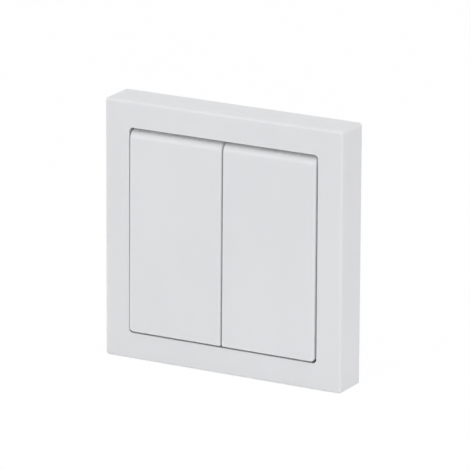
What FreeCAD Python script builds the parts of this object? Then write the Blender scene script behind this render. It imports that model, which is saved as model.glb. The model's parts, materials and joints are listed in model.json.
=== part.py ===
import FreeCAD, Part
import math
import os
from types import SimpleNamespace

import Sketcher

# Two-gang battery wall switch. The wall is the plane y = 0, the room is towards -Y and +Z is up.
# Every depth below is a distance from the wall towards the room.

doc = FreeCAD.newDocument("wall_switch")

driving_sizes = {
    "frame_size": 80.0,
    "frame_depth": 11.8,
    "frame_corner": 0.9,
    "frame_edge": 0.85,
    "frame_wall": 2.0,
    "front_thickness": 2.2,
    "strip_width": 8.2,
    "opening_corner": 1.2,
    "opening_edge": 0.2,
    "collar_wall": 1.2,
    "ledge_width": 1.8,
    "ledge_thickness": 0.8,
    "ledge_room": 1.4,
    "strip_rib_thickness": 1.0,
    "strip_rib_height": 2.4,
    "strip_rib_place": 20.0,
    "plate_thickness": 1.5,
    "plate_gap": 0.3,
    "plate_corner": 2.0,
    "tape_recess_length": 40.0,
    "tape_recess_width": 16.0,
    "tape_recess_place": 14.0,
    "tape_recess_depth": 0.4,
    "wall_screw_spacing": 60.0,
    "wall_slot_width": 4.2,
    "wall_slot_length": 9.0,
    "frame_hook_width": 8.0,
    "frame_hook_arm": 1.2,
    "frame_hook_inset": 0.5,
    "frame_hook_rise": 4.6,
    "frame_hook_nose": 1.6,
    "frame_hook_flat": 0.5,
    "frame_groove_depth": 0.8,
    "hook_play": 0.3,
    "catch_play": 0.08,
    "case_size": 51.0,
    "case_corner": 3.0,
    "case_gap": 0.2,
    "case_floor": 1.0,
    "case_wall": 1.4,
    "case_clip_width": 5.0,
    "case_clip_arm": 1.2,
    "case_clip_gap": 0.2,
    "case_clip_place": 15.0,
    "case_clip_rise": 5.1,
    "case_clip_nose": 1.3,
    "case_clip_flat": 0.4,
    "case_clip_reach": 0.75,
    "case_recess_depth": 0.7,
    "cell_radius": 10.0,
    "cell_cap_radius": 8.8,
    "cell_thickness": 3.2,
    "cell_cap_height": 0.4,
    "cell_bevel": 0.3,
    "cell_play": 0.1,
    "cell_side_play": 0.3,
    "cell_ring_wall": 1.2,
    "cell_ring_gap": 6.4,
    "cover_flange": 1.3,
    "cover_flange_height": 0.5,
    "cover_play": 0.15,
    "cover_slot_length": 12.0,
    "cover_slot_width": 1.8,
    "cover_slot_depth": 0.6,
    "contact_space": 0.4,
    "contact_sheet": 0.2,
    "contact_width": 5.0,
    "contact_foot": 3.0,
    "contact_reach": 3.0,
    "contact_touch": 0.03,
    "board_thickness": 1.0,
    "board_play": 0.3,
    "board_corner": 2.0,
    "case_screw_inset": 6.0,
    "case_screw_radius": 1.0,
    "case_screw_head_radius": 1.9,
    "case_screw_head": 1.4,
    "case_screw_bite": 1.8,
    "case_screw_sink": 0.3,
    "screw_play": 0.12,
    "pilot_play": 0.02,
    "boss_wall": 1.5,
    "carrier_space": 0.3,
    "carrier_thickness": 1.0,
    "carrier_boss_cap": 0.6,
    "switch_size": 5.2,
    "switch_corner": 0.5,
    "switch_height": 1.5,
    "switch_arm": 10.0,
    "switch_window_play": 0.2,
    "plunger_radius": 1.2,
    "plunger_proud": 0.4,
    "plunger_length": 1.2,
    "plunger_stroke": 0.35,
    "plunger_play": 0.05,
    "plunger_bevel": 0.2,
    "touch_gap": 0.03,
    "rocker_skin": 1.4,
    "rocker_lean": 0.4,
    "rocker_skirt": 5.4,
    "rocker_wall": 1.2,
    "rocker_side_gap": 0.45,
    "rocker_middle_gap": 0.44,
    "rocker_top_gap": 0.4,
    "rocker_bottom_gap": 0.57,
    "rocker_top_round": 3.0,
    "rocker_corner": 1.2,
    "rocker_edge": 0.55,
    "rocker_swing_room": 1.0,
    "middle_bar_width": 4.0,
    "middle_bar_play": 0.3,
    "rocker_rib_thickness": 1.0,
    "rocker_rib_height": 1.0,
    "rocker_cross_rib_height": 0.6,
    "rocker_cross_rib_place": 14.0,
    "post_radius": 1.4,
    "post_length": 1.67,
    "post_bevel": 0.4,
    "pivot_post_inset": 0.375,
    "pivot_rise": 0.75,
    "pivot_pin_radius": 0.7,
    "pivot_play": 0.04,
    "pivot_post_thickness": 1.6,
    "pivot_post_width": 3.0,
    "pivot_post_cap": 0.15,
    "pivot_pin_overhang": 0.15,
    "lug_thickness": 1.4,
    "lug_wall": 0.9,
    "lug_side_play": 0.15,
    "lug_lip": 0.42,
    "radio_chip_size": 7.0,
    "radio_chip_height": 0.85,
    "radio_chip_gap": 2.5,
    "crystal_length": 3.2,
    "crystal_width": 2.5,
    "crystal_height": 0.8,
    "crystal_offset": 8.0,
    "antenna_length": 6.5,
    "antenna_width": 2.2,
    "antenna_height": 1.0,
    "antenna_inset": 2.7,
    "capacitor_length": 1.6,
    "capacitor_width": 0.8,
    "capacitor_height": 0.8,
    "capacitor_offset": 7.0,
    "capacitor_pitch": 2.2,
    "cut_margin": 1.0,
}

origin_point = -1
start_point, end_point, centre_point = range(1, 4)
place_tolerance = 0.01


class Size(float):
    # A number that keeps the spreadsheet formula it came from.

    def __new__(cls, number, formula):
        size = super().__new__(cls, number)
        size.formula = formula
        return size

    def __add__(self, other):
        return Size(float(self) + float(other), f"({self.formula} + {formula_of(other)})")

    def __radd__(self, other):
        return Size(float(other) + float(self), f"({formula_of(other)} + {self.formula})")

    def __sub__(self, other):
        return Size(float(self) - float(other), f"({self.formula} - {formula_of(other)})")

    def __rsub__(self, other):
        return Size(float(other) - float(self), f"({formula_of(other)} - {self.formula})")

    def __mul__(self, other):
        return Size(float(self) * float(other), f"({self.formula} * {formula_of(other)})")

    def __rmul__(self, other):
        return Size(float(other) * float(self), f"({formula_of(other)} * {self.formula})")

    def __truediv__(self, other):
        return Size(float(self) / float(other), f"({self.formula} / {formula_of(other)})")

    def __neg__(self):
        return Size(-float(self), f"(-{self.formula})")


def formula_of(value):
    return getattr(value, "formula", str(float(value)))


def root(size):
    return Size(math.sqrt(size), f"sqrt({size.formula})")


def fill_sheet():
    sheet = doc.addObject("Spreadsheet::Sheet", "sizes")
    for row, (name, number) in enumerate(driving_sizes.items(), start=1):
        sheet.set(f"A{row}", name)
        sheet.set(f"B{row}", str(number))
        sheet.setAlias(f"B{row}", name)
    doc.recompute()
    return SimpleNamespace(**{name: Size(sheet.get(name), f"sizes.{name}") for name in driving_sizes})


s = fill_sheet()

# Places that several pieces share, worked out from the driving sizes
frame_half = s.frame_size / 2
frame_inner_half = frame_half - s.frame_wall
opening_half = frame_half - s.strip_width
strip_back = s.frame_depth - s.front_thickness
collar_outer_half = opening_half + s.collar_wall
plate_half = frame_inner_half - s.plate_gap
case_half = s.case_size / 2
case_inner_half = case_half - s.case_wall
board_half = case_inner_half - s.board_play
case_screw_place = case_half - s.case_screw_inset
case_back = s.plate_thickness + s.case_gap
floor_front = case_back + s.case_floor
cell_back = floor_front + s.cell_play
cell_front = cell_back + s.cell_thickness
cell_bore = s.cell_radius + s.cell_side_play
cell_ring_radius = cell_bore + s.cell_ring_wall
board_back = cell_front + s.contact_space
board_front = board_back + s.board_thickness
carrier_back = board_front + s.carrier_space
carrier_front = carrier_back + s.carrier_thickness
switch_front = board_front + s.switch_height
plunger_front = switch_front + s.plunger_proud
screw_seat = case_back + s.case_screw_sink + s.case_screw_head
screw_tip = board_front + s.case_screw_bite
post_tip = plunger_front + s.touch_gap
skin_back = post_tip + s.post_length
rocker_front = skin_back + s.rocker_skin
skirt_back = rocker_front - s.rocker_skirt
ledge_front = skirt_back - s.ledge_room
collar_back = ledge_front - s.ledge_thickness
rocker_inner_edge = s.rocker_middle_gap / 2
rocker_width = opening_half - s.rocker_side_gap - rocker_inner_edge
rocker_centre = rocker_inner_edge + rocker_width / 2
rocker_top = opening_half - s.rocker_top_gap
rocker_foot = opening_half - s.rocker_bottom_gap
rocker_end_inner = rocker_foot - s.rocker_wall
pivot_depth = carrier_front + s.pivot_rise
pivot_half_span = case_half - s.pivot_post_inset - s.pivot_post_thickness / 2 - rocker_centre
pivot_bore = s.pivot_pin_radius + s.pivot_play


def new_body(name):
    body = doc.addObject("PartDesign::Body", name)
    body.Label = name
    return body


def origin_feature(body, role):
    return next(feature for feature in body.Origin.OriginFeatures if feature.Role == role)


def new_sketch(body, name, role, offset):
    sketch = body.newObject("Sketcher::SketchObject", f"{body.Label}_{name}_sketch")
    sketch.AttachmentSupport = [(origin_feature(body, role), "")]
    sketch.MapMode = "FlatFace"
    sketch.setExpression("AttachmentOffset.Base.z", formula_of(offset))
    return sketch


def wall_sketch(body, name, depth):
    # Seen from the room: the first coordinate is x, the second is z.
    return new_sketch(body, name, "XZ_Plane", depth)


def side_sketch(body, name, x):
    # Seen along X: the first coordinate is y, the second is z.
    return new_sketch(body, name, "YZ_Plane", x)


def top_sketch(body, name, z):
    # Seen from above: the first coordinate is x, the second is y.
    return new_sketch(body, name, "XY_Plane", z)


def fix_coordinate(sketch, kind, element, point, size):
    if float(size) == 0:
        axis = -2 if kind == "DistanceX" else -1
        sketch.addConstraint(Sketcher.Constraint("PointOnObject", element, point, axis))
        return
    constraint = Sketcher.Constraint(kind, origin_point, start_point, element, point, float(size))
    index = sketch.addConstraint(constraint)
    sketch.setExpression(f"Constraints[{index}]", formula_of(size))


def circle(sketch, across, up, radius):
    centre = FreeCAD.Vector(across, up, 0)
    element = sketch.addGeometry(Part.Circle(centre, FreeCAD.Vector(0, 0, 1), float(radius)))
    fix_coordinate(sketch, "DistanceX", element, centre_point, across)
    fix_coordinate(sketch, "DistanceY", element, centre_point, up)
    index = sketch.addConstraint(Sketcher.Constraint("Radius", element, float(radius)))
    sketch.setExpression(f"Constraints[{index}]", formula_of(radius))


def arc_between(first, last, centre):
    angles = [math.atan2(point[1] - centre[1], point[0] - centre[0]) for point in (first, last)]
    if angles[1] <= angles[0]:
        angles[1] += 2 * math.pi
    middle = FreeCAD.Vector(centre[0], centre[1], 0)
    base = Part.Circle(middle, FreeCAD.Vector(0, 0, 1), math.dist(first, centre))
    return Part.ArcOfCircle(base, *angles)


def trace(sketch, *path):
    # Draws a closed outline through corners (across, up). A corner that an arc leads to also holds
    # the arc's centre and its sense, 1 for anticlockwise and -1 for clockwise.
    start = path[-1][:2]
    drawn = []
    for corner in path:
        end = corner[:2]
        ends = (start_point, end_point)
        if len(corner) == 2:
            shape = Part.LineSegment(FreeCAD.Vector(*start, 0), FreeCAD.Vector(*end, 0))
        else:
            centre, sense = corner[2:4], corner[4]
            shape = arc_between(start, end, centre) if sense > 0 else arc_between(end, start, centre)
            ends = ends if sense > 0 else ends[::-1]
        element = sketch.addGeometry(shape)
        fix_coordinate(sketch, "DistanceX", element, ends[1], end[0])
        fix_coordinate(sketch, "DistanceY", element, ends[1], end[1])
        if len(corner) > 2:
            upright_chord = abs(end[1] - start[1]) > abs(end[0] - start[0])
            if upright_chord:
                fix_coordinate(sketch, "DistanceX", element, centre_point, centre[0])
            else:
                fix_coordinate(sketch, "DistanceY", element, centre_point, centre[1])
        drawn.append((element, ends))
        start = end
    for (before, before_ends), (after, after_ends) in zip(drawn, drawn[1:] + drawn[:1]):
        sketch.addConstraint(Sketcher.Constraint("Coincident", before, before_ends[1], after, after_ends[0]))


def rectangle(sketch, left, right, low, high):
    trace(sketch, (right, low), (right, high), (left, high), (left, low))


def centred_rectangle(sketch, across, up, width, height):
    rectangle(sketch, across - width / 2, across + width / 2, up - height / 2, up + height / 2)


def rounded_square(sketch, half, radius, across=0, up=0):
    left, right = across - half, across + half
    low, high = up - half, up + half
    trace(
        sketch,
        (right - radius, low),
        (right, low + radius, right - radius, low + radius, 1),
        (right, high - radius),
        (right - radius, high, right - radius, high - radius, 1),
        (left + radius, high),
        (left, high - radius, left + radius, high - radius, 1),
        (left, low + radius),
        (left + radius, low, left + radius, low + radius, 1),
    )


def level_slot(sketch, across, length, width):
    radius = width / 2
    left, right = across - length / 2 + radius, across + length / 2 - radius
    trace(sketch, (right, -radius), (right, radius, right, 0, 1), (left, radius), (left, -radius, left, 0, 1))


def upright_slot(sketch, up, length, width):
    radius = width / 2
    low, high = up - length / 2 + radius, up + length / 2 - radius
    trace(sketch, (radius, high), (-radius, high, 0, high, 1), (-radius, low), (radius, low, 0, low, 1))


def pad(body, name, sketch, length):
    feature = body.newObject("PartDesign::Pad", f"{body.Label}_{name}")
    feature.Profile = sketch
    feature.setExpression("Length", formula_of(length))
    doc.recompute()
    return feature


def pocket(body, name, sketch, length, reverse=False):
    # Cuts towards the wall, or towards the room when reversed, and makes sure that it cut something.
    before = body.Shape.Volume
    feature = body.newObject("PartDesign::Pocket", f"{body.Label}_{name}")
    feature.Profile = sketch
    feature.setExpression("Length", formula_of(length))
    feature.Reversed = reverse
    doc.recompute()
    if body.Shape.Volume >= before:
        raise RuntimeError(f"{feature.Name} cuts nothing")
    return feature


def revolve_about_depth(body, name, sketch):
    feature = body.newObject("PartDesign::Revolution", f"{body.Label}_{name}")
    feature.Profile = sketch
    feature.ReferenceAxis = (origin_feature(body, "Y_Axis"), [""])
    feature.Angle = 360
    doc.recompute()


def repeat_round_depth(body, name, originals, count):
    feature = body.newObject("PartDesign::PolarPattern", f"{body.Label}_{name}")
    feature.Originals = originals
    feature.Axis = (origin_feature(body, "Y_Axis"), [""])
    feature.Angle = 360
    feature.Occurrences = count
    body.Tip = feature
    doc.recompute()


def lies_at(edge, axis, place):
    box = edge.BoundBox
    ends = getattr(box, f"{axis}Min"), getattr(box, f"{axis}Max")
    return all(abs(end - place) < place_tolerance for end in ends)


def within(edge, axis, reach):
    box = edge.BoundBox
    ends = getattr(box, f"{axis}Min"), getattr(box, f"{axis}Max")
    return all(abs(end) < reach + place_tolerance for end in ends)


def dress_edges(body, kind, name, wanted):
    base = body.Tip
    edges = [f"Edge{index}" for index, edge in enumerate(base.Shape.Edges, start=1) if wanted(edge)]
    if not edges:
        raise RuntimeError(f"{body.Label} has no edge for {name}")
    feature = body.newObject(f"PartDesign::{kind}", f"{body.Label}_{name}")
    feature.Base = (base, edges)
    return feature


def round_edges(body, name, radius, wanted):
    feature = dress_edges(body, "Fillet", name, wanted)
    feature.setExpression("Radius", formula_of(radius))
    doc.recompute()


def bevel_edges(body, name, size, wanted):
    feature = dress_edges(body, "Chamfer", name, wanted)
    feature.setExpression("Size", formula_of(size))
    doc.recompute()


def four_corners(place):
    return [(across * place, up * place) for across in (-1, 1) for up in (-1, 1)]


def build_frame():
    body = new_body("frame")
    outline = wall_sketch(body, "outline", 0)
    rounded_square(outline, frame_half, s.frame_corner)
    pad(body, "block", outline, s.frame_depth)
    round_edges(body, "front_rounding", s.frame_edge, lambda edge: lies_at(edge, "Y", -s.frame_depth))
    hollow = wall_sketch(body, "hollow", strip_back)
    rounded_square(hollow, frame_inner_half, s.frame_corner)
    pocket(body, "hollow", hollow, strip_back)
    collar = wall_sketch(body, "collar", collar_back)
    rounded_square(collar, collar_outer_half, s.opening_corner + s.collar_wall)
    pad(body, "collar", collar, strip_back - collar_back)
    ribs = wall_sketch(body, "ribs", strip_back - s.strip_rib_height)
    for place in (-s.strip_rib_place, s.strip_rib_place):
        for inner, outer in ((-frame_inner_half, -collar_outer_half), (collar_outer_half, frame_inner_half)):
            low, high = place - s.strip_rib_thickness / 2, place + s.strip_rib_thickness / 2
            rectangle(ribs, inner, outer, low, high)
            rectangle(ribs, low, high, inner, outer)
    pad(body, "ribs", ribs, s.strip_rib_height)
    opening = wall_sketch(body, "opening", s.frame_depth)
    rounded_square(opening, opening_half, s.opening_corner)
    pocket(body, "opening", opening, s.frame_depth - ledge_front)
    ledge_half = opening_half - s.ledge_width
    ledge = wall_sketch(body, "ledge", ledge_front)
    rounded_square(ledge, ledge_half, s.opening_corner)
    pocket(body, "ledge", ledge, s.ledge_thickness)
    round_edges(
        body, "opening_rounding", s.opening_edge,
        lambda edge: lies_at(edge, "Y", -s.frame_depth) and within(edge, "X", opening_half)
        and within(edge, "Z", opening_half),
    )
    groove_back = s.frame_hook_rise - s.catch_play
    groove_front = s.frame_hook_rise + s.frame_hook_nose + s.hook_play
    groove_half = s.frame_hook_width / 2 + s.hook_play
    groove_bottom = frame_inner_half + s.frame_groove_depth
    grooves = wall_sketch(body, "grooves", groove_front)
    clear_of_wall = frame_inner_half - s.plate_gap
    rectangle(grooves, clear_of_wall, groove_bottom, -groove_half, groove_half)
    rectangle(grooves, -groove_bottom, -clear_of_wall, -groove_half, groove_half)
    rectangle(grooves, -groove_half, groove_half, clear_of_wall, groove_bottom)
    rectangle(grooves, -groove_half, groove_half, -groove_bottom, -clear_of_wall)
    pocket(body, "grooves", grooves, groove_front - groove_back)
    return body


def build_mounting_plate():
    body = new_body("mounting_plate")
    outline = wall_sketch(body, "outline", 0)
    rounded_square(outline, plate_half, s.plate_corner)
    pad(body, "block", outline, s.plate_thickness)
    slots = wall_sketch(body, "slots", s.plate_thickness)
    for place in (-s.wall_screw_spacing / 2, s.wall_screw_spacing / 2):
        level_slot(slots, place, s.wall_slot_length, s.wall_slot_width)
        upright_slot(slots, place, s.wall_slot_length, s.wall_slot_width)
    pocket(body, "slots", slots, s.plate_thickness)

    # Hook on the right-hand side, with a ramped nose that catches in the frame's groove
    arm_outer = plate_half - s.frame_hook_inset
    arm_inner = arm_outer - s.frame_hook_arm
    nose_tip = frame_inner_half + s.frame_groove_depth - s.hook_play
    nose_front = s.frame_hook_rise + s.frame_hook_nose
    nose_shoulder = s.frame_hook_rise + s.frame_hook_flat
    hook = top_sketch(body, "frame_hook", -s.frame_hook_width / 2)
    trace(
        hook,
        (arm_inner, -s.plate_thickness),
        (arm_inner, -nose_front),
        (arm_outer, -nose_front),
        (nose_tip, -nose_shoulder),
        (nose_tip, -s.frame_hook_rise),
        (arm_outer, -s.frame_hook_rise),
        (arm_outer, -s.plate_thickness),
    )
    first_hook = pad(body, "frame_hook", hook, s.frame_hook_width)
    repeat_round_depth(body, "frame_hooks", [first_hook], 4)

    # Clips above the module, with noses that turn inwards over its walls
    clip_inner = case_half + s.case_clip_gap
    clip_outer = clip_inner + s.case_clip_arm
    clip_tip = clip_inner - s.case_clip_reach
    clip_front = s.case_clip_rise + s.case_clip_nose
    clip_shoulder = s.case_clip_rise + s.case_clip_flat
    clips = []
    for name, place in (("left_clip", -s.case_clip_place), ("right_clip", s.case_clip_place)):
        clip = side_sketch(body, name, place - s.case_clip_width / 2)
        trace(
            clip,
            (-s.plate_thickness, clip_outer),
            (-clip_front, clip_outer),
            (-clip_front, clip_inner),
            (-clip_shoulder, clip_tip),
            (-s.case_clip_rise, clip_tip),
            (-s.case_clip_rise, clip_inner),
            (-s.plate_thickness, clip_inner),
        )
        clips.append(pad(body, name, clip, s.case_clip_width))
    repeat_round_depth(body, "clips", clips, 2)

    # Windows through the plate under the clips' noses, as the mould needs them
    windows = wall_sketch(body, "clip_windows", s.plate_thickness)
    for across in (-s.case_clip_place, s.case_clip_place):
        left, right = across - s.case_clip_width / 2, across + s.case_clip_width / 2
        rectangle(windows, left, right, clip_tip, clip_inner)
        rectangle(windows, left, right, -clip_inner, -clip_tip)
    pocket(body, "clip_windows", windows, s.plate_thickness)

    # Shallow recesses on the wall side for strips of mounting tape
    recesses = wall_sketch(body, "tape_recesses", s.tape_recess_depth)
    for across in (-s.tape_recess_place, s.tape_recess_place):
        centred_rectangle(recesses, across, 0, s.tape_recess_width, s.tape_recess_length)
    pocket(body, "tape_recesses", recesses, s.tape_recess_depth)
    return body


def build_rear_case():
    body = new_body("rear_case")
    outline = wall_sketch(body, "outline", case_back)
    rounded_square(outline, case_half, s.case_corner)
    pad(body, "block", outline, board_front - case_back)
    hollow = wall_sketch(body, "hollow", board_front)
    rounded_square(hollow, case_inner_half, s.case_corner - s.case_wall)
    pocket(body, "hollow", hollow, board_front - floor_front)
    bosses = wall_sketch(body, "bosses", floor_front)
    boss_radius = s.case_screw_radius + s.screw_play + s.boss_wall
    for across, up in four_corners(case_screw_place):
        circle(bosses, across, up, boss_radius)
    pad(body, "bosses", bosses, board_back - floor_front)
    screw_holes = wall_sketch(body, "screw_holes", board_back)
    for across, up in four_corners(case_screw_place):
        circle(screw_holes, across, up, s.case_screw_radius + s.screw_play)
    pocket(body, "screw_holes", screw_holes, board_back - case_back)
    head_holes = wall_sketch(body, "head_holes", screw_seat)
    for across, up in four_corners(case_screw_place):
        circle(head_holes, across, up, s.case_screw_head_radius + s.screw_play)
    pocket(body, "head_holes", head_holes, screw_seat - case_back)

    # Ring round the cell, open at one side for the positive contact
    ring_front = cell_front - s.cell_cap_height
    ring = wall_sketch(body, "cell_ring", floor_front)
    circle(ring, 0, 0, cell_ring_radius)
    circle(ring, 0, 0, cell_bore)
    pad(body, "cell_ring", ring, ring_front - floor_front)
    ring_gap = wall_sketch(body, "cell_ring_gap", ring_front)
    gap_half = s.cell_ring_gap / 2
    rectangle(ring_gap, 0, cell_ring_radius + s.cut_margin, -gap_half, gap_half)
    pocket(body, "cell_ring_gap", ring_gap, ring_front - floor_front)

    # Stepped opening for the battery cover
    opening = wall_sketch(body, "cell_opening", floor_front)
    circle(opening, 0, 0, cell_bore)
    pocket(body, "cell_opening", opening, s.case_floor)
    seat = wall_sketch(body, "cover_seat", case_back + s.cover_flange_height)
    circle(seat, 0, 0, cell_bore + s.cover_flange)
    pocket(body, "cover_seat", seat, s.cover_flange_height)

    # Recesses in the upper and lower walls for the plate's clips
    recess_back = s.case_clip_rise - s.catch_play
    recess_front = s.case_clip_rise + s.case_clip_nose + s.hook_play
    recess_bottom = case_half - s.case_recess_depth
    recesses = wall_sketch(body, "clip_recesses", recess_front)
    for across in (-s.case_clip_place, s.case_clip_place):
        left = across - s.case_clip_width / 2 - s.hook_play
        right = across + s.case_clip_width / 2 + s.hook_play
        rectangle(recesses, left, right, recess_bottom, case_half + s.case_clip_gap)
        rectangle(recesses, left, right, -case_half - s.case_clip_gap, -recess_bottom)
    pocket(body, "clip_recesses", recesses, recess_front - recess_back)
    return body


def build_battery_cover():
    body = new_body("battery_cover")
    flange = wall_sketch(body, "flange", case_back)
    circle(flange, 0, 0, cell_bore + s.cover_flange - s.cover_play)
    pad(body, "flange", flange, s.cover_flange_height)
    plug = wall_sketch(body, "plug", case_back + s.cover_flange_height)
    circle(plug, 0, 0, cell_bore - s.cover_play)
    pad(body, "plug", plug, s.case_floor - s.cover_flange_height)
    slot = wall_sketch(body, "coin_slot", case_back + s.cover_slot_depth)
    level_slot(slot, 0, s.cover_slot_length, s.cover_slot_width)
    pocket(body, "coin_slot", slot, s.cover_slot_depth)
    return body


def build_front_carrier():
    body = new_body("front_carrier")
    outline = wall_sketch(body, "outline", carrier_back)
    rounded_square(outline, case_half, s.case_corner)
    pad(body, "lid", outline, s.carrier_thickness)
    # Bar behind the slit between the rockers
    bar = wall_sketch(body, "middle_bar", carrier_back)
    bar_length = (rocker_end_inner - s.middle_bar_play) * 2
    centred_rectangle(bar, 0, 0, s.middle_bar_width, bar_length)
    pad(body, "middle_bar", bar, s.carrier_thickness)
    rim = wall_sketch(body, "rim", board_front)
    rounded_square(rim, case_half, s.case_corner)
    rounded_square(rim, case_inner_half, s.case_corner - s.case_wall)
    pad(body, "rim", rim, s.carrier_space)
    windows = wall_sketch(body, "switch_windows", carrier_front)
    window = s.switch_size + s.switch_window_play * 2
    for across in (-rocker_centre, rocker_centre):
        for up in (-s.switch_arm, s.switch_arm):
            centred_rectangle(windows, across, up, window, window)
    pocket(body, "switch_windows", windows, s.carrier_thickness)

    # Blind screw bosses, which also hold the board down
    bosses = wall_sketch(body, "bosses", board_front)
    for across, up in four_corners(case_screw_place):
        circle(bosses, across, up, s.case_screw_radius + s.pilot_play + s.boss_wall)
    pad(body, "bosses", bosses, s.case_screw_bite + s.carrier_boss_cap)
    pilots = wall_sketch(body, "pilots", board_front)
    for across, up in four_corners(case_screw_place):
        circle(pilots, across, up, s.case_screw_radius + s.pilot_play)
    pocket(body, "pilots", pilots, s.case_screw_bite + s.pilot_play, reverse=True)

    # Pivot posts, two for each rocker, with stub pins that face each other
    post_height = s.pivot_rise + s.pivot_pin_radius + s.pivot_post_cap
    posts = wall_sketch(body, "pivot_posts", carrier_front)
    post_half = s.pivot_post_thickness / 2
    pin_length = s.lug_side_play + s.lug_thickness + s.pivot_pin_overhang
    pin_starts = []
    for rocker_place in (-rocker_centre, rocker_centre):
        left_post, right_post = rocker_place - pivot_half_span, rocker_place + pivot_half_span
        for across in (left_post, right_post):
            centred_rectangle(posts, across, 0, s.pivot_post_thickness, s.pivot_post_width)
        pin_starts += [left_post + post_half, right_post - post_half - pin_length]
    pad(body, "pivot_posts", posts, post_height)
    for index, start in enumerate(pin_starts, start=1):
        pin = side_sketch(body, f"pin_{index}", start)
        circle(pin, -pivot_depth, 0, s.pivot_pin_radius)
        pad(body, f"pin_{index}", pin, pin_length)
    return body


def build_circuit_board():
    body = new_body("circuit_board")
    outline = wall_sketch(body, "outline", board_back)
    rounded_square(outline, board_half, s.board_corner)
    pad(body, "panel", outline, s.board_thickness)
    holes = wall_sketch(body, "screw_holes", board_front)
    for across, up in four_corners(case_screw_place):
        circle(holes, across, up, s.case_screw_radius + s.screw_play)
    pocket(body, "screw_holes", holes, s.board_thickness)
    return body


def build_switch(name, across, up):
    body = new_body(name)
    outline = wall_sketch(body, "outline", board_front)
    rounded_square(outline, s.switch_size / 2, s.switch_corner, across, up)
    pad(body, "block", outline, s.switch_height)
    well = wall_sketch(body, "well", switch_front)
    circle(well, across, up, s.plunger_radius + s.plunger_play)
    pocket(body, "well", well, s.plunger_length - s.plunger_proud + s.plunger_stroke)
    return body


def build_plunger(name, across, up):
    body = new_body(name)
    outline = wall_sketch(body, "outline", plunger_front - s.plunger_length)
    circle(outline, across, up, s.plunger_radius)
    pad(body, "pin", outline, s.plunger_length)
    bevel_edges(body, "tip_bevel", s.plunger_bevel, lambda edge: lies_at(edge, "Y", -plunger_front))
    return body


def build_rocker(name, side):
    body = new_body(name)
    centre = side * rocker_centre
    left, right = centre - rocker_width / 2, centre + rocker_width / 2
    # The face leans out a little towards its lower end
    upper_front = rocker_front - s.rocker_lean / 2
    lower_front = rocker_front + s.rocker_lean / 2
    profile = side_sketch(body, "profile", left)
    trace(
        profile,
        (-skirt_back, -rocker_foot),
        (-skirt_back, rocker_top),
        (-upper_front, rocker_top),
        (-lower_front, -rocker_foot),
    )
    pad(body, "block", profile, rocker_width)
    outer_side = right if side > 0 else left
    round_edges(
        body, "lower_corner", s.rocker_corner,
        lambda edge: lies_at(edge, "X", outer_side) and lies_at(edge, "Z", -rocker_foot),
    )
    round_edges(
        body, "top_rounding", s.rocker_top_round,
        lambda edge: lies_at(edge, "Y", -upper_front) and lies_at(edge, "Z", rocker_top),
    )

    def outline_edge(edge):
        on_side = lies_at(edge, "X", left) or lies_at(edge, "X", right)
        bottom_front = lies_at(edge, "Y", -lower_front) and lies_at(edge, "Z", -rocker_foot)
        return bottom_front or (on_side and not lies_at(edge, "Y", -skirt_back))

    round_edges(body, "edge_rounding", s.rocker_edge, outline_edge)
    hollow = wall_sketch(body, "hollow", skirt_back)
    rectangle(hollow, left + s.rocker_wall, right - s.rocker_wall, -rocker_end_inner, rocker_end_inner)
    pocket(body, "hollow", hollow, skin_back - skirt_back, reverse=True)

    # The skirt beside the other rocker stops short of the module's lid
    relief = wall_sketch(body, "inner_skirt", skirt_back)
    inner_edge = side * rocker_inner_edge
    inner_face = side * (rocker_inner_edge + s.rocker_wall)
    relief_left, relief_right = min(inner_edge, inner_face), max(inner_edge, inner_face)
    rectangle(relief, relief_left, relief_right, -rocker_end_inner, rocker_end_inner)
    pocket(body, "inner_skirt", relief, carrier_front + s.rocker_swing_room - skirt_back, reverse=True)

    # Ribs behind the skin
    rib = wall_sketch(body, "long_rib", skin_back - s.rocker_rib_height)
    rib_half = s.rocker_rib_thickness / 2
    rectangle(rib, centre - rib_half, centre + rib_half, -rocker_end_inner, rocker_end_inner)
    pad(body, "long_rib", rib, s.rocker_rib_height)
    cross_ribs = wall_sketch(body, "cross_ribs", skin_back - s.rocker_cross_rib_height)
    for up in (-s.rocker_cross_rib_place, s.rocker_cross_rib_place):
        rectangle(cross_ribs, left + s.rocker_wall, right - s.rocker_wall, up - rib_half, up + rib_half)
    pad(body, "cross_ribs", cross_ribs, s.rocker_cross_rib_height)

    # Bevelled posts that rest on the plungers
    posts = wall_sketch(body, "posts", post_tip)
    for up in (-s.switch_arm, s.switch_arm):
        circle(posts, centre, up, s.post_radius)
    pad(body, "posts", posts, s.post_length)
    bevel_edges(body, "post_bevel", s.post_bevel, lambda edge: lies_at(edge, "Y", -post_tip))

    # Lugs that snap over the carrier's pins, open towards the wall
    lug_half = pivot_bore + s.lug_wall
    lug_tip = pivot_depth - s.lug_lip
    throat = root(pivot_bore * pivot_bore - s.lug_lip * s.lug_lip)
    reach = pivot_half_span - s.pivot_post_thickness / 2 - s.lug_side_play
    for lug_name, lug_left in (("left_lug", centre - reach), ("right_lug", centre + reach - s.lug_thickness)):
        lug = side_sketch(body, lug_name, lug_left)
        trace(
            lug,
            (-lug_tip, -throat),
            (-lug_tip, throat, -pivot_depth, 0, -1),
            (-lug_tip, lug_half),
            (-skin_back, lug_half),
            (-skin_back, -lug_half),
            (-lug_tip, -lug_half),
        )
        pad(body, lug_name, lug, s.lug_thickness)
    return body


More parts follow.
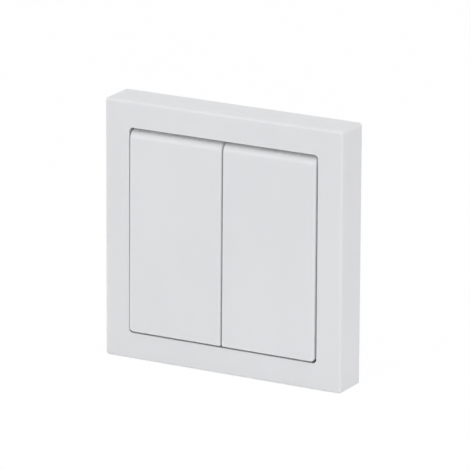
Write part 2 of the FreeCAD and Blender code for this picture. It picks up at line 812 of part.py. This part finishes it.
def build_coin_cell():
    body = new_body("coin_cell")
    profile = top_sketch(body, "profile", 0)
    shoulder = cell_front - s.cell_cap_height
    trace(
        profile,
        (0, -cell_back),
        (0, -cell_front),
        (s.cell_cap_radius, -cell_front),
        (s.cell_cap_radius, -shoulder),
        (s.cell_radius - s.cell_bevel, -shoulder),
        (s.cell_radius, -shoulder + s.cell_bevel),
        (s.cell_radius, -cell_back - s.cell_bevel),
        (s.cell_radius - s.cell_bevel, -cell_back),
    )
    revolve_about_depth(body, "can", profile)
    return body


def build_positive_contact():
    # A bent strip from the board's back down along the side of the cell
    body = new_body("positive_contact")
    inner = s.cell_radius + s.contact_touch
    outer = inner + s.contact_sheet
    low = board_back - s.contact_reach
    strip = top_sketch(body, "strip", -s.contact_width / 2)
    trace(
        strip,
        (inner, -low),
        (inner, -board_back),
        (inner + s.contact_foot, -board_back),
        (inner + s.contact_foot, -board_back + s.contact_sheet),
        (outer, -board_back + s.contact_sheet),
        (outer, -low),
    )
    pad(body, "strip", strip, s.contact_width)
    return body


def build_negative_contact():
    # A strip on the board's back whose free end leans onto the cell's cap
    body = new_body("negative_contact")
    foot_back = board_back - s.contact_sheet
    strip = side_sketch(body, "strip", -s.contact_width / 2)
    trace(
        strip,
        (-board_back, -s.contact_reach - s.contact_foot),
        (-board_back, -s.contact_reach),
        (-cell_front - s.contact_sheet, s.contact_reach),
        (-cell_front, s.contact_reach),
        (-foot_back, -s.contact_reach),
        (-foot_back, -s.contact_reach - s.contact_foot),
    )
    pad(body, "strip", strip, s.contact_width)
    return body


def build_board_part(name, places, width, height, thickness):
    # Flat parts soldered to the back of the board
    body = new_body(name)
    outline = wall_sketch(body, "outline", board_back - thickness)
    for across, up in places:
        centred_rectangle(outline, across, up, width, height)
    pad(body, "block", outline, thickness)
    return body


def build_board_parts():
    chip_up = cell_ring_radius + s.radio_chip_gap + s.radio_chip_size / 2
    antenna_up = -board_half + s.antenna_inset + s.antenna_width / 2
    capacitor_places = [
        (-s.capacitor_offset, chip_up - s.capacitor_pitch),
        (-s.capacitor_offset, chip_up),
        (-s.capacitor_offset, chip_up + s.capacitor_pitch),
    ]
    return [
        build_board_part(
            "radio_chip", [(0, chip_up)], s.radio_chip_size, s.radio_chip_size, s.radio_chip_height
        ),
        build_board_part(
            "crystal", [(s.crystal_offset, chip_up)], s.crystal_length, s.crystal_width, s.crystal_height
        ),
        build_board_part(
            "antenna", [(0, antenna_up)], s.antenna_length, s.antenna_width, s.antenna_height
        ),
        build_board_part(
            "capacitors", capacitor_places, s.capacitor_length, s.capacitor_width, s.capacitor_height
        ),
    ]


def build_case_screws():
    body = new_body("case_screws")
    heads = wall_sketch(body, "heads", screw_seat - s.case_screw_head)
    shanks = wall_sketch(body, "shanks", screw_seat)
    for across, up in four_corners(case_screw_place):
        circle(heads, across, up, s.case_screw_head_radius)
        circle(shanks, across, up, s.case_screw_radius)
    pad(body, "heads", heads, s.case_screw_head)
    pad(body, "shanks", shanks, screw_tip - screw_seat)
    return body


def build_switches():
    bodies = []
    for row, up in (("upper", s.switch_arm), ("lower", -s.switch_arm)):
        for column, across in (("left", -rocker_centre), ("right", rocker_centre)):
            bodies.append(build_switch(f"{row}_{column}_switch", across, up))
            bodies.append(build_plunger(f"{row}_{column}_plunger", across, up))
    return bodies


def check_and_write(bodies):
    doc.recompute()
    failed = [item.Name for item in doc.Objects if "Invalid" in item.State or "Error" in item.State]
    if failed:
        raise RuntimeError(f"failed features: {failed}")
    for body in bodies:
        if body.Shape.isNull() or not body.Shape.isValid():
            raise RuntimeError(f"{body.Label} has no valid shape")
    os.makedirs("parts", exist_ok=True)
    for body in bodies:
        body.Shape.exportStep(f"parts/{body.Label}.step")


sub_parts = [
    build_frame(),
    build_mounting_plate(),
    build_rear_case(),
    build_battery_cover(),
    build_front_carrier(),
    build_circuit_board(),
    build_rocker("left_rocker", -1),
    build_rocker("right_rocker", 1),
    build_coin_cell(),
    build_positive_contact(),
    build_negative_contact(),
    build_case_screws(),
    *build_switches(),
    *build_board_parts(),
]
check_and_write(sub_parts)
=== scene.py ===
import bpy
import json
import math
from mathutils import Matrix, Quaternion, Vector


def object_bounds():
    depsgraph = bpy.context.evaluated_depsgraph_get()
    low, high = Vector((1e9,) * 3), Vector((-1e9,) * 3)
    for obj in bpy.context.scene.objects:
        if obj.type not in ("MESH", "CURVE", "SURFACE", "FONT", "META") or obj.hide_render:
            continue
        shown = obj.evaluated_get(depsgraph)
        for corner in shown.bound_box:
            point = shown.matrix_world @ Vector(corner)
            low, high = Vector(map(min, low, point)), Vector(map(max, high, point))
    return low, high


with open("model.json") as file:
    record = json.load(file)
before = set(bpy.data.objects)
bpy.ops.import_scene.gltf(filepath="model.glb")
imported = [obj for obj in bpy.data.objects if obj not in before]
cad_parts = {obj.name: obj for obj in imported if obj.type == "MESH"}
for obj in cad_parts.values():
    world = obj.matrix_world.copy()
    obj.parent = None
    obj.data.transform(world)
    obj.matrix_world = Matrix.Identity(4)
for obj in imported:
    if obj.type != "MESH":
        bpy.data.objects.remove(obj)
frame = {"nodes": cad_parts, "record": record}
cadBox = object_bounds()
nodes = frame["nodes"]
print("frame loaded:", len(nodes), "nodes")


def addNode(tree, kind, **values):
    # a new node, with input sockets set by name (underscores stand for spaces)
    node = tree.nodes.new(kind)
    for name, value in values.items():
        node.inputs[name.replace("_", " ")].default_value = value
    return node


def mathNode(tree, operation, first, second=None, third=None):
    node = tree.nodes.new("ShaderNodeMath")
    node.operation = operation
    for socket, value in zip(node.inputs, (first, second, third)):
        if isinstance(value, bpy.types.NodeSocket):
            tree.links.new(value, socket)
        elif value is not None:
            socket.default_value = value
    return node.outputs[0]


def remap(tree, value, fromMin, fromMax, toMin, toMax, smooth=False):
    node = addNode(tree, "ShaderNodeMapRange", From_Min=fromMin, From_Max=fromMax, To_Min=toMin, To_Max=toMax)
    node.interpolation_type = "SMOOTHSTEP" if smooth else "LINEAR"
    tree.links.new(value, node.inputs["Value"])
    return node.outputs["Result"]


def noise(tree, vector, scale, detail=2.0, roughness=0.5):
    node = addNode(tree, "ShaderNodeTexNoise", Detail=detail, Roughness=roughness)
    tree.links.new(vector, node.inputs["Vector"])
    if isinstance(scale, bpy.types.NodeSocket):
        tree.links.new(scale, node.inputs["Scale"])
    else:
        node.inputs["Scale"].default_value = scale
    return node.outputs["Fac"]


def mixColour(tree, factor, first, second, blend="MIX"):
    node = tree.nodes.new("ShaderNodeMix")
    node.data_type = "RGBA"
    node.blend_type = blend
    sockets = {s.identifier: s for s in node.inputs}
    for key, value in (("Factor_Float", factor), ("A_Color", first), ("B_Color", second)):
        if isinstance(value, bpy.types.NodeSocket):
            tree.links.new(value, sockets[key])
        else:
            sockets[key].default_value = value
    return next(s for s in node.outputs if s.identifier == "Result_Color")


def newGroup(name, inputs, outputs):
    tree = bpy.data.node_groups.new(name, "ShaderNodeTree")
    for label, kind, value in inputs:
        socket = tree.interface.new_socket(label, in_out="INPUT", socket_type=kind)
        if value is not None:
            socket.default_value = value
    for label, kind in outputs:
        tree.interface.new_socket(label, in_out="OUTPUT", socket_type=kind)
    return tree, tree.nodes.new("NodeGroupInput").outputs, tree.nodes.new("NodeGroupOutput").inputs


vectorSocket, floatSocket, colourSocket = "NodeSocketVector", "NodeSocketFloat", "NodeSocketColor"


grainLook = {"smooth": 0.6, "fineScale": 2.3, "fineShare": 0.6, "glossSwing": 0.03}


# spark-eroded mould surface: a fine even pebble with a little finer noise on it
def makeSparkGrain():
    tree, source, out = newGroup(
        "sparkGrain",
        [("Vector", vectorSocket, None), ("Scale", floatSocket, 4000.0), ("Base Roughness", floatSocket, 0.4)],
        [("Height", floatSocket), ("Roughness", floatSocket)],
    )
    pebble = tree.nodes.new("ShaderNodeTexVoronoi")
    pebble.feature = "SMOOTH_F1"
    pebble.inputs["Smoothness"].default_value = grainLook["smooth"]
    tree.links.new(source["Vector"], pebble.inputs["Vector"])
    tree.links.new(source["Scale"], pebble.inputs["Scale"])
    fineScale = mathNode(tree, "MULTIPLY", source["Scale"], grainLook["fineScale"])
    fine = noise(tree, source["Vector"], fineScale, 3.0, 0.6)
    height = mathNode(tree, "MULTIPLY_ADD", fine, grainLook["fineShare"], pebble.outputs["Distance"])
    tree.links.new(height, out["Height"])
    swing = remap(tree, fine, 0.3, 0.7, -grainLook["glossSwing"], grainLook["glossSwing"])
    tree.links.new(mathNode(tree, "ADD", source["Base Roughness"], swing), out["Roughness"])
    return tree


flowLook = {
    "stretch": (1.0, 1.0, 0.35), "flowScale": 55.0, "touchScale": 130.0, "shade": (0.30, 0.31, 0.35, 1.0),
    "glossSwing": (-0.025, 0.045),
}


# slow changes of tone and gloss: the melt's flow through the mould, and hands on it since
def makeMouldFlow():
    tree, source, out = newGroup(
        "mouldFlow",
        [("Vector", vectorSocket, None), ("Colour", colourSocket, None), ("Amount", floatSocket, 0.03),
         ("Roughness", floatSocket, 0.4)],
        [("Colour", colourSocket), ("Roughness", floatSocket)],
    )
    stretch = tree.nodes.new("ShaderNodeMapping")
    stretch.inputs["Scale"].default_value = flowLook["stretch"]
    tree.links.new(source["Vector"], stretch.inputs["Vector"])
    flow = noise(tree, stretch.outputs["Vector"], flowLook["flowScale"], 3.0, 0.45)
    touch = noise(tree, source["Vector"], flowLook["touchScale"], 4.0, 0.6)
    shade = mathNode(tree, "MULTIPLY", remap(tree, flow, 0.3, 0.7, 0.0, 1.0, True), source["Amount"])
    tree.links.new(mixColour(tree, shade, source["Colour"], flowLook["shade"]), out["Colour"])
    swing = remap(tree, touch, 0.35, 0.7, *flowLook["glossSwing"], True)
    tree.links.new(mathNode(tree, "ADD", source["Roughness"], swing), out["Roughness"])
    return tree


# tint and masks of the painted gap shade
gapShadeLook = {
    "colour": (0.24, 0.22, 0.20, 1.0), "patchScale": 900.0, "facingUp": (0.05, 0.55), "crease": (0.3, 0.97),
    "mouth": 0.2,
}


# painted shade near the mouths of gaps: a warm dark tint where ambient occlusion is deep, fullest on what faces up
# and a set share on the rest
def makeGapShade():
    tree, source, out = newGroup(
        "gapShade",
        [("Vector", vectorSocket, None), ("Colour", colourSocket, None), ("Reach", floatSocket, 0.002),
         ("Amount", floatSocket, 0.3), ("Rest Share", floatSocket, 0.5)],
        [("Colour", colourSocket)],
    )
    hidden = tree.nodes.new("ShaderNodeAmbientOcclusion")
    hidden.samples = 8
    tree.links.new(source["Reach"], hidden.inputs["Distance"])
    facing = tree.nodes.new("ShaderNodeSeparateXYZ")
    tree.links.new(tree.nodes.new("ShaderNodeNewGeometry").outputs["Normal"], facing.inputs["Vector"])
    upward = remap(tree, facing.outputs["Z"], *gapShadeLook["facingUp"], 0.0, 1.0, True)
    facingShare = mathNode(tree, "MAXIMUM", upward, source["Rest Share"])
    crease = remap(tree, hidden.outputs["AO"], *gapShadeLook["crease"], 1.0, 0.0, True)
    mouth = remap(tree, hidden.outputs["AO"], 0.0, gapShadeLook["mouth"], 0.0, 1.0)
    patchy = remap(tree, noise(tree, source["Vector"], gapShadeLook["patchScale"], 3.0, 0.6), 0.3, 0.7, 0.5, 1.0)
    mask = source["Amount"]
    for part in (facingShare, crease, mouth, patchy):
        mask = mathNode(tree, "MULTIPLY", mask, part)
    # painted shade: the dark tint is mixed into the colour where the mask is strong
    tree.links.new(mixColour(tree, mask, source["Colour"], gapShadeLook["colour"]), out["Colour"])
    return tree


wearAndHighlightLook = {"colour": (0.88, 0.88, 0.87, 1.0), "patchScale": 240.0, "edge": (0.45, 0.9), "polish": 0.15}


# edges that hands and cloths rub, with a painted highlight on them: a little paler and smoother than the faces
# between them
def makeEdgeWearAndHighlight():
    tree, source, out = newGroup(
        "edgeWearAndHighlight",
        [("Vector", vectorSocket, None), ("Colour", colourSocket, None), ("Roughness", floatSocket, 0.4),
         ("Reach", floatSocket, 0.0008), ("Amount", floatSocket, 0.4)],
        [("Colour", colourSocket), ("Roughness", floatSocket)],
    )
    edge = tree.nodes.new("ShaderNodeAmbientOcclusion")
    edge.inside = True
    edge.samples = 8
    tree.links.new(source["Reach"], edge.inputs["Distance"])
    edgeZone = remap(tree, edge.outputs["AO"], *wearAndHighlightLook["edge"], 1.0, 0.0, True)
    patchy = remap(tree, noise(tree, source["Vector"], wearAndHighlightLook["patchScale"], 4.0, 0.65), 0.35, 0.65, 0.4, 1.0)
    mask = mathNode(tree, "MULTIPLY", mathNode(tree, "MULTIPLY", edgeZone, patchy), source["Amount"])
    # paler edge colour: partly wear, partly a painted highlight
    tree.links.new(mixColour(tree, mask, source["Colour"], wearAndHighlightLook["colour"]), out["Colour"])
    tree.links.new(mathNode(tree, "MULTIPLY_ADD", mask, -wearAndHighlightLook["polish"], source["Roughness"]), out["Roughness"])
    return tree


linesLook = {"shade": (0.30, 0.29, 0.28, 1.0), "shadeMost": 0.18, "glossSwing": (-0.08, 0.1)}


# drawn or turned metal: long fine scratches along one direction of the vector
def makeDrawnLines():
    tree, source, out = newGroup(
        "drawnLines",
        [("Vector", vectorSocket, None), ("Colour", colourSocket, None), ("Base Roughness", floatSocket, 0.3)],
        [("Colour", colourSocket), ("Roughness", floatSocket), ("Height", floatSocket)],
    )
    lines = noise(tree, source["Vector"], 1.0, 4.0, 0.7)
    tree.links.new(lines, out["Height"])
    swing = remap(tree, lines, 0.3, 0.7, *linesLook["glossSwing"])
    tree.links.new(mathNode(tree, "ADD", source["Base Roughness"], swing), out["Roughness"])
    tone = remap(tree, lines, 0.35, 0.65, 0.0, linesLook["shadeMost"], True)
    tree.links.new(mixColour(tree, tone, source["Colour"], linesLook["shade"]), out["Colour"])
    return tree


sparkGrain, mouldFlow, edgeWearAndHighlight = makeSparkGrain(), makeMouldFlow(), makeEdgeWearAndHighlight()
gapShade, drawnLines = makeGapShade(), makeDrawnLines()
print("node groups made")


def newMaterial(name):
    material = bpy.data.materials.new(name)
    material.use_nodes = True
    tree = material.node_tree
    tree.nodes.clear()
    shader = tree.nodes.new("ShaderNodeBsdfPrincipled")
    tree.links.new(shader.outputs["BSDF"], tree.nodes.new("ShaderNodeOutputMaterial").inputs["Surface"])
    return material, tree, shader, tree.nodes.new("ShaderNodeTexCoord").outputs["Object"]


def placeGroup(tree, group, links, values):
    node = tree.nodes.new("ShaderNodeGroup")
    node.node_tree = group
    for name, socket in links.items():
        tree.links.new(socket, node.inputs[name])
    for name, value in values.items():
        node.inputs[name].default_value = value
    return node.outputs


def addBump(tree, shader, height, strength, distance):
    bump = addNode(tree, "ShaderNodeBump", Strength=strength, Distance=distance)
    tree.links.new(height, bump.inputs["Height"])
    tree.links.new(bump.outputs["Normal"], shader.inputs["Normal"])


# round marks where the mould's pins pushed a moulding out, the same in all four quarters: disc and rim
def pinMarks(tree, place, pins):
    sides = tree.nodes.new("ShaderNodeSeparateXYZ")
    tree.links.new(place, sides.inputs["Vector"])
    quarter = tree.nodes.new("ShaderNodeCombineXYZ")
    for axis in ("X", "Z"):
        tree.links.new(mathNode(tree, "ABSOLUTE", sides.outputs[axis]), quarter.inputs[axis])
    nearest = None
    for across, up in pins["places"]:
        away = tree.nodes.new("ShaderNodeVectorMath")
        away.operation = "DISTANCE"
        away.inputs[1].default_value = (across, 0.0, up)
        tree.links.new(quarter.outputs["Vector"], away.inputs[0])
        nearest = mathNode(tree, "MINIMUM", nearest, away.outputs["Value"]) if nearest else away.outputs["Value"]
    disc = remap(tree, nearest, pins["radius"] - pins["edge"], pins["radius"] + pins["edge"], 1.0, 0.0, True)
    rim = mathNode(tree, "MULTIPLY", disc, remap(tree, disc, 0.0, 1.0, 4.0, 0.0))
    return disc, rim


# one moulded plastic: tone and flow, rubbed edges with a painted highlight, painted shade in its gaps, the mould's
# grain and scattered light
def mouldedPlastic(name, look):
    material, tree, shader, place = newMaterial(name)
    grain = placeGroup(
        tree, sparkGrain, {"Vector": place}, {"Scale": look["grainScale"], "Base Roughness": look["roughness"]},
    )
    flow = placeGroup(
        tree, mouldFlow, {"Vector": place, "Roughness": grain["Roughness"]},
        {"Colour": look["colour"], "Amount": look["flow"]},
    )
    # edge wear together with a painted highlight on the edges
    wornAndHighlightedEdges = placeGroup(
        tree, edgeWearAndHighlight, {"Vector": place, "Colour": flow["Colour"], "Roughness": flow["Roughness"]},
        {"Amount": look["wornAndHighlightedEdges"]},
    )
    # painted shade in the gaps and creases, mixed into the colour
    paintedGapShade = placeGroup(
        tree, gapShade, {"Vector": place, "Colour": wornAndHighlightedEdges["Colour"]},
        {"Reach": look["paintedGapShadeReach"], "Amount": look["paintedGapShade"], "Rest Share": look["paintedGapShadeCling"]},
    )
    colour, roughness, height = paintedGapShade["Colour"], wornAndHighlightedEdges["Roughness"], grain["Height"]
    if "pins" in look:
        pins = look["pins"]
        disc, rim = pinMarks(tree, place, pins)
        colour = mixColour(tree, mathNode(tree, "MULTIPLY", rim, pins["line"]), colour, pins["lineColour"])
        roughness = mathNode(tree, "MULTIPLY_ADD", disc, -pins["polish"], roughness)
        height = mathNode(tree, "MULTIPLY_ADD", disc, -pins["sink"], height)
    tree.links.new(colour, shader.inputs["Base Color"])
    tree.links.new(roughness, shader.inputs["Roughness"])
    addBump(tree, shader, height, look["grain"], look["grainDepth"])
    shader.inputs["IOR"].default_value = look["ior"]
    shader.inputs["Subsurface Weight"].default_value = look.get("scatter", 0.0)
    shader.inputs["Subsurface Scale"].default_value = look.get("scatterDepth", 0.0)
    shader.inputs["Subsurface Radius"].default_value = (1.0, 0.95, 0.9)
    return material


coverLook = {
    "colour": (0.770, 0.776, 0.790, 1.0), "roughness": 0.36, "ior": 1.5, "grainScale": 5200.0, "grain": 0.12,
    "grainDepth": 0.00002, "flow": 0.03, "wornAndHighlightedEdges": 0.16, "paintedGapShade": 0.56, "paintedGapShadeReach": 0.0034, "paintedGapShadeCling": 0.08,
    "scatter": 0.7, "scatterDepth": 0.0008,
}
plateLook = {
    "colour": (0.66, 0.67, 0.68, 1.0), "roughness": 0.55, "ior": 1.5, "grainScale": 2600.0, "grain": 0.35,
    "grainDepth": 0.00004, "flow": 0.08, "wornAndHighlightedEdges": 0.25, "paintedGapShade": 0.35, "paintedGapShadeReach": 0.003, "paintedGapShadeCling": 0.7,
    "pins": {
        "places": [(0.0315, 0.0315), (0.0315, 0.0150), (0.0, 0.0120)], "radius": 0.002, "edge": 0.00018,
        "line": 0.35, "lineColour": (0.12, 0.12, 0.13, 1.0), "polish": 0.15, "sink": 3.0,
    },
}
moduleLook = {
    "colour": (0.48, 0.49, 0.51, 1.0), "roughness": 0.6, "ior": 1.5, "grainScale": 2600.0, "grain": 0.35,
    "grainDepth": 0.00004, "flow": 0.08, "wornAndHighlightedEdges": 0.25, "paintedGapShade": 0.3, "paintedGapShadeReach": 0.003, "paintedGapShadeCling": 0.7,
}
switchLook = {
    "colour": (0.030, 0.030, 0.033, 1.0), "roughness": 0.5, "ior": 1.5, "grainScale": 3800.0, "grain": 0.3,
    "grainDepth": 0.00003, "flow": 0.05, "wornAndHighlightedEdges": 0.05, "paintedGapShade": 0.1, "paintedGapShadeReach": 0.001, "paintedGapShadeCling": 0.5,
}
plungerLook = {
    "colour": (0.62, 0.60, 0.53, 1.0), "roughness": 0.42, "ior": 1.5, "grainScale": 5200.0, "grain": 0.1,
    "grainDepth": 0.00002, "flow": 0.05, "wornAndHighlightedEdges": 0.2, "paintedGapShade": 0.1, "paintedGapShadeReach": 0.001, "paintedGapShadeCling": 0.5,
}
chipLook = {
    "colour": (0.020, 0.020, 0.022, 1.0), "roughness": 0.62, "ior": 1.5, "grainScale": 7000.0, "grain": 0.5,
    "grainDepth": 0.00002, "flow": 0.04, "wornAndHighlightedEdges": 0.05, "paintedGapShade": 0.05, "paintedGapShadeReach": 0.001, "paintedGapShadeCling": 0.5,
}
ceramicLook = {
    "colour": (0.52, 0.44, 0.34, 1.0), "roughness": 0.55, "ior": 1.6, "grainScale": 9000.0, "grain": 0.3,
    "grainDepth": 0.00001, "flow": 0.12, "wornAndHighlightedEdges": 0.1, "paintedGapShade": 0.05, "paintedGapShadeReach": 0.001, "paintedGapShadeCling": 0.5,
}


# drawn metal: scratches run along the axis with the small scale
def drawnMetal(name, look):
    material, tree, shader, place = newMaterial(name)
    stretch = tree.nodes.new("ShaderNodeMapping")
    stretch.inputs["Scale"].default_value = look["scratchScale"]
    tree.links.new(place, stretch.inputs["Vector"])
    lines = placeGroup(
        tree, drawnLines, {"Vector": stretch.outputs["Vector"]},
        {"Colour": look["colour"], "Base Roughness": look["roughness"]},
    )
    tree.links.new(lines["Colour"], shader.inputs["Base Color"])
    tree.links.new(lines["Roughness"], shader.inputs["Roughness"])
    shader.inputs["Metallic"].default_value = 1.0
    addBump(tree, shader, lines["Height"], look["scratch"], look["scratchDepth"])
    return material


cellLook = {
    "colour": (0.66, 0.66, 0.67, 1.0), "roughness": 0.28, "scratchScale": (9000.0, 900.0, 500.0), "scratch": 0.2,
    "scratchDepth": 0.00001,
}
contactLook = {
    "colour": (0.80, 0.66, 0.38, 1.0), "roughness": 0.3, "scratchScale": (700.0, 9000.0, 9000.0), "scratch": 0.2,
    "scratchDepth": 0.00001,
}
screwLook = {
    "colour": (0.60, 0.61, 0.64, 1.0), "roughness": 0.34, "scratchScale": (2500.0, 2500.0, 2500.0), "scratch": 0.3,
    "scratchDepth": 0.00001,
}

boardLook = {
    "mask": (0.012, 0.085, 0.030, 1.0), "track": (0.030, 0.190, 0.070, 1.0), "pad": (0.70, 0.62, 0.42, 1.0),
    "trackPitch": 260.0, "trackWidth": 0.05, "trackRun": 1.7, "trackRow": 0.45, "routeScale": 120.0,
    "viaPitch": 330.0, "viaEdge": (0.10, 0.13), "roughness": 0.32, "weaveScale": 3000.0, "weave": 0.15,
    "relief": 0.4, "reliefDepth": 0.00004,
}


# solder mask over copper: tracks show through it, and bare vias shine
def boardLaminate():
    material, tree, shader, place = newMaterial("boardLaminate")
    turn = tree.nodes.new("ShaderNodeMapping")
    turn.inputs["Rotation"].default_value = (math.radians(90), 0, 0)
    tree.links.new(place, turn.inputs["Vector"])
    tracks = addNode(
        tree, "ShaderNodeTexBrick", Scale=boardLook["trackPitch"], Mortar_Size=boardLook["trackWidth"],
        Mortar_Smooth=0.1, Brick_Width=boardLook["trackRun"], Row_Height=boardLook["trackRow"],
    )
    tree.links.new(turn.outputs["Vector"], tracks.inputs["Vector"])
    routed = remap(tree, noise(tree, place, boardLook["routeScale"], 1.0), 0.46, 0.54, 0.0, 1.0)
    trackMask = mathNode(tree, "MULTIPLY", tracks.outputs["Fac"], routed)
    vias = addNode(tree, "ShaderNodeTexVoronoi", Scale=boardLook["viaPitch"])
    vias.voronoi_dimensions = "2D"
    tree.links.new(turn.outputs["Vector"], vias.inputs["Vector"])
    viaMask = remap(tree, vias.outputs["Distance"], *boardLook["viaEdge"], 1.0, 0.0)
    covered = mixColour(tree, trackMask, boardLook["mask"], boardLook["track"])
    tree.links.new(mixColour(tree, viaMask, covered, boardLook["pad"]), shader.inputs["Base Color"])
    tree.links.new(viaMask, shader.inputs["Metallic"])
    weave = placeGroup(
        tree, sparkGrain, {"Vector": place},
        {"Scale": boardLook["weaveScale"], "Base Roughness": boardLook["roughness"]},
    )
    tree.links.new(weave["Roughness"], shader.inputs["Roughness"])
    copper = mathNode(tree, "MAXIMUM", trackMask, viaMask)
    raised = mathNode(tree, "MULTIPLY_ADD", weave["Height"], boardLook["weave"], copper)
    addBump(tree, shader, raised, boardLook["relief"], boardLook["reliefDepth"])
    return material


finishes = {
    "cover_plastic": mouldedPlastic("coverPlastic", coverLook),
    "plate_plastic": mouldedPlastic("platePlastic", plateLook),
    "module_plastic": mouldedPlastic("modulePlastic", moduleLook),
    "switch_plastic": mouldedPlastic("switchPlastic", switchLook),
    "plunger_plastic": mouldedPlastic("plungerPlastic", plungerLook),
    "chip_resin": mouldedPlastic("chipResin", chipLook),
    "ceramic": mouldedPlastic("firedCeramic", ceramicLook),
    "cell_steel": drawnMetal("cellSteel", cellLook),
    "contact_metal": drawnMetal("contactMetal", contactLook),
    "screw_steel": drawnMetal("screwZinc", screwLook),
    "board_laminate": boardLaminate(),
}
for row in frame["record"]["subparts"]:
    mesh = nodes[row["node"]].data
    mesh.materials.clear()
    mesh.materials.append(finishes[row["material_slot"]])
print("finishes set on", len(nodes), "nodes")

stageLook = {
    "floorGap": 0.0002, "floorSize": 8.0, "floorColour": (0.97, 0.97, 0.97, 1.0), "floorRoughness": 0.9,
    "whiteShare": 0.975,  # the rest keeps the object's shadow
}


# which rays see the plain white ground instead of the lit one
def seenDirectly(tree):
    rays = tree.nodes.new("ShaderNodeLightPath").outputs
    glossOrGlass = mathNode(tree, "MAXIMUM", rays["Is Glossy Ray"], rays["Is Transmission Ray"])
    return mathNode(tree, "MAXIMUM", rays["Is Camera Ray"], glossOrGlass)


def floorPaint():
    material, tree, shader, place = newMaterial("floorPaint")
    tone = remap(tree, noise(tree, place, 3.0, 2.0), 0.3, 0.7, 0.99, 1.0)
    tree.links.new(mixColour(tree, 1.0, stageLook["floorColour"], tone, "MULTIPLY"), shader.inputs["Base Color"])
    shader.inputs["Roughness"].default_value = stageLook["floorRoughness"]
    shader.inputs["Specular IOR Level"].default_value = 0.0
    white = addNode(tree, "ShaderNodeEmission", Color=(1.0, 1.0, 1.0, 1.0), Strength=1.0)
    blend = tree.nodes.new("ShaderNodeMixShader")
    share = mathNode(tree, "MULTIPLY", seenDirectly(tree), stageLook["whiteShare"])
    tree.links.new(share, blend.inputs[0])
    tree.links.new(shader.outputs["BSDF"], blend.inputs[1])
    tree.links.new(white.outputs["Emission"], blend.inputs[2])
    output = next(n for n in tree.nodes if n.type == "OUTPUT_MATERIAL")
    tree.links.new(blend.outputs["Shader"], output.inputs["Surface"])
    return material


bpy.ops.object.select_all(action="DESELECT")
bpy.ops.mesh.primitive_plane_add(size=stageLook["floorSize"], location=(0, 0, cadBox[0].z - stageLook["floorGap"]))
floor = bpy.context.object
floor.name = "floor"
bpy.ops.object.transform_apply(location=True, rotation=True, scale=True)
floor.data.materials.append(floorPaint())

# an overhead box, a low one in front, a small one at the right side and one at the left
lightLook = {
    "world": 0.62,
    "boxes": {
        "topBox": {"place": (0.2, -0.15, 1.5), "size": (1.2, 1.2), "power": 5.4},
        "frontBox": {"place": (1.08, -1.68, 0.27), "size": (1.1, 0.6), "power": 5.3},
        "sideBox": {"place": (1.9, 0.3, 0.34), "size": (0.8, 0.74), "power": 3.1},
        "fillBox": {"place": (-0.75, -1.4, 0.5), "size": (0.5, 0.5), "power": 3.2},
    },
}
world = bpy.data.worlds.new("studioWorld")
bpy.context.scene.world = world
world.use_nodes = True
worldTree = world.node_tree
worldTree.nodes.clear()
level = remap(worldTree, seenDirectly(worldTree), 0.0, 1.0, lightLook["world"], 1.0)
sky = addNode(worldTree, "ShaderNodeBackground", Color=(1.0, 1.0, 1.0, 1.0))
worldTree.links.new(level, sky.inputs["Strength"])
worldTree.links.new(sky.outputs["Background"], worldTree.nodes.new("ShaderNodeOutputWorld").inputs["Surface"])

middle = (cadBox[0] + cadBox[1]) / 2
for name, box in lightLook["boxes"].items():
    lamp = bpy.data.lights.new(name, "AREA")
    lamp.shape, lamp.energy = "RECTANGLE", box["power"]
    lamp.size, lamp.size_y = box["size"]
    holder = bpy.data.objects.new(name, lamp)
    holder.location = box["place"]
    holder.rotation_euler = (middle - Vector(box["place"])).to_track_quat("-Z", "Y").to_euler()
    bpy.context.scene.collection.objects.link(holder)
print("floor and lights set")

cameraLook = {
    "azimuth": 29.01, "elevation": 16.18, "roll": 0.253,  # degrees
    "distance": 1.6128, "lens": 416.7, "sensor": 36.0, "shift": (0.0081, 0.0120), "farthest": 20.0,
}


def placeCamera():
    turn, rise = math.radians(cameraLook["azimuth"]), math.radians(cameraLook["elevation"])
    back = Vector((math.sin(turn) * math.cos(rise), -math.cos(turn) * math.cos(rise), math.sin(rise)))
    data = bpy.data.cameras.new("camera")
    data.lens, data.sensor_width = cameraLook["lens"], cameraLook["sensor"]
    data.shift_x, data.shift_y = cameraLook["shift"]
    data.clip_end = cameraLook["farthest"]
    camera = bpy.data.objects.new("camera", data)
    camera.location = middle + back * cameraLook["distance"]
    level = (-back).to_track_quat("-Z", "Y")
    camera.rotation_euler = (level @ Quaternion((0, 0, 1), math.radians(cameraLook["roll"]))).to_euler()
    bpy.context.scene.collection.objects.link(camera)
    bpy.context.scene.camera = camera


placeCamera()
bpy.context.scene.view_settings.view_transform = "Standard"
print("camera placed")
